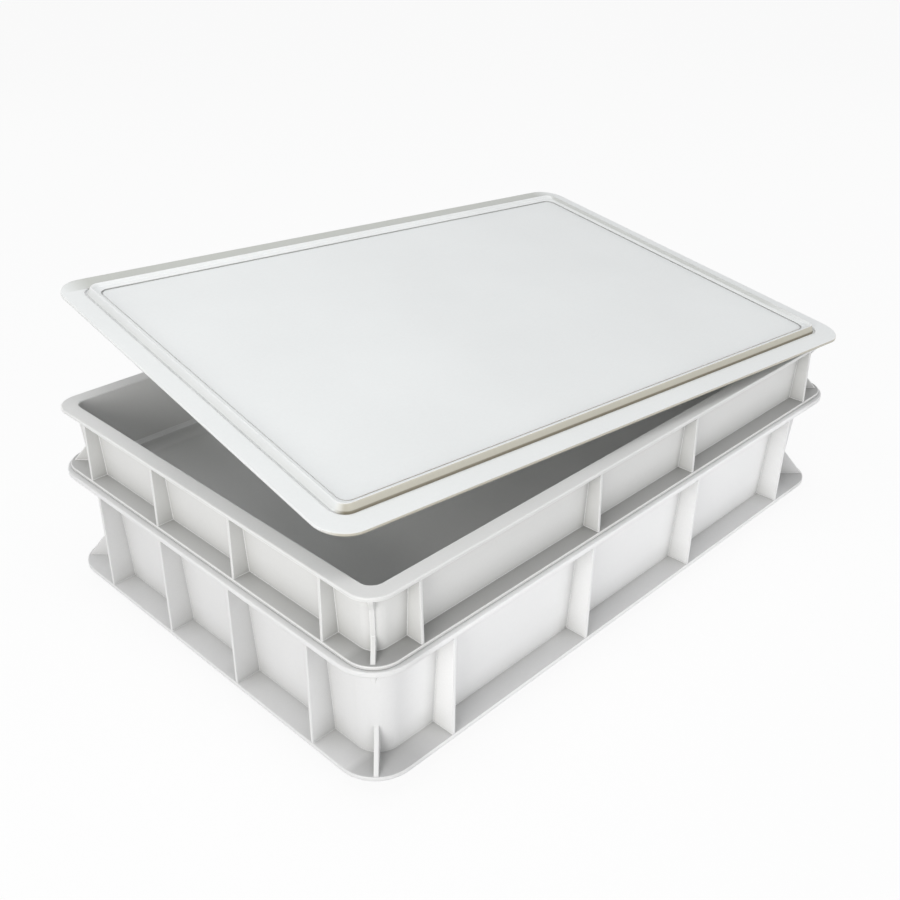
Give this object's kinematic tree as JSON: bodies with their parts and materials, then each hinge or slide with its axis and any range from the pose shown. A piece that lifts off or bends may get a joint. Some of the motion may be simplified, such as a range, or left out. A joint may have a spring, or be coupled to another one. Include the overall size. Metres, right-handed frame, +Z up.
{
  "type": "dough proofing container",
  "caption": "Stacking rectangular dough box: a shallow ribbed tub nested in a deeper one, under a flat loose lid with a raised edge.",
  "frame": {"origin": "middle of the lower tub's flat underside, where the stack rests", "axes": "+X along the long side, +Y along the short side away from the side that the lid leans to, +Z up"},
  "size_m": [0.6387, 0.4398, 0.2552],
  "materials": {
    "tub_plastic": "satin moulded food-grade plastic, pale grey-white",
    "lid_plastic": "satin moulded food-grade plastic, cool white"
  },
  "bodies": {
    "lower_tub": {"lower_tub": "tub_plastic"},
    "upper_tub": {"upper_tub": "tub_plastic"},
    "lid": {"lid": "lid_plastic"}
  },
  "joints": [
    {"name": "upper_tub_lift", "type": "slide", "parent": "lower_tub", "child": "upper_tub", "axis": [0, 0, 1], "range_m": [0, 0.2]},
    {"name": "lid_tip", "type": "hinge", "parent": "upper_tub", "child": "lid", "pos_m": [0.3, -0.2089, 0.1284], "axis": [0.8636, 0.2436, -0.4415], "range_deg": [-9.5, 50]}
  ]
}
